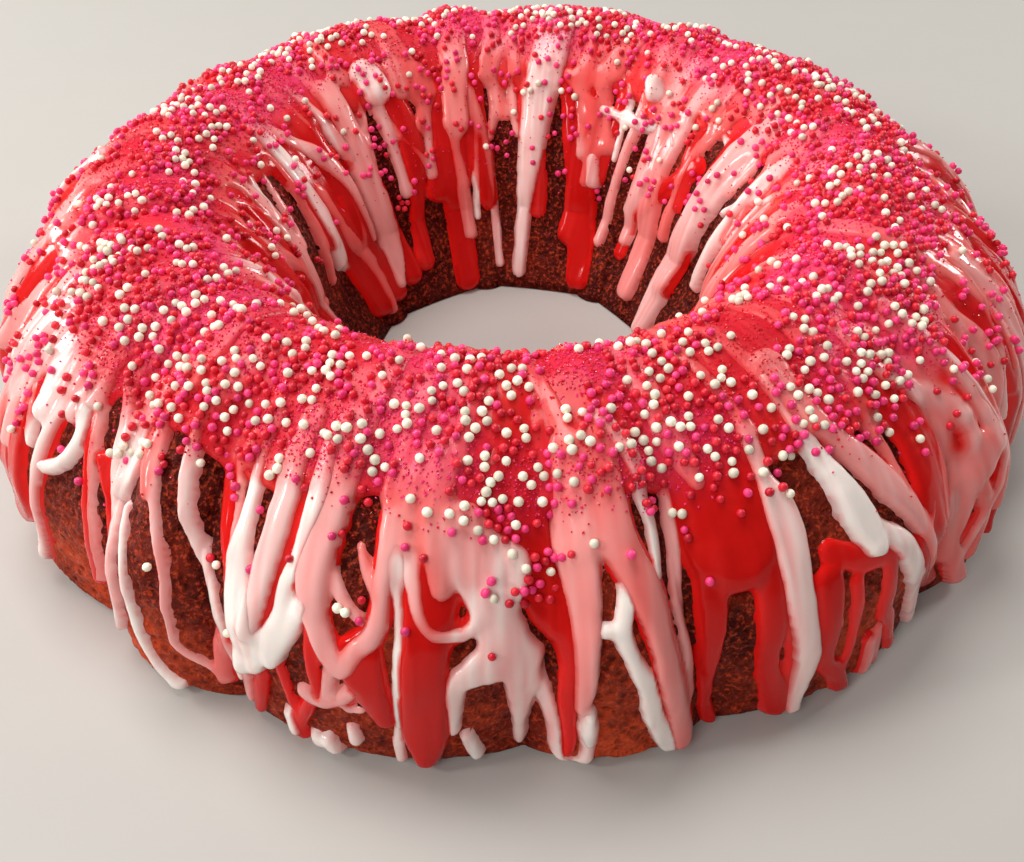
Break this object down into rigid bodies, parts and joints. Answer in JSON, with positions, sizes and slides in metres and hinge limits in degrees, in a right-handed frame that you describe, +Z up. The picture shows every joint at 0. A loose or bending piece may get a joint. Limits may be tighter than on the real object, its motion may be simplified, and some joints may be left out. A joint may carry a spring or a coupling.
{
  "type": "bundt cake",
  "caption": "Fluted ring cake with poured red, pink and white icing running down its sides and into its hole, and round sprinkles on its crown.",
  "frame": {"origin": "centre of the ring at the level of its flat base", "axes": "+Z up out of the crown, -Y towards the front that the picture shows, +X to its right"},
  "size_m": [0.2539, 0.2544, 0.0637],
  "materials": {
    "sponge": "baked golden-brown crumb, pitted and slightly moist",
    "red_icing": "glossy translucent sugar icing",
    "pink_icing": "glossy sugar icing",
    "white_icing": "glossy sugar icing",
    "white_sprinkles": "satin sugar pearls",
    "red_sprinkles": "satin sugar pearls",
    "pink_sprinkles": "satin sugar pearls and grains"
  },
  "bodies": {
    "root": {"bundt_cake": "sponge"}
  },
  "joints": []
}
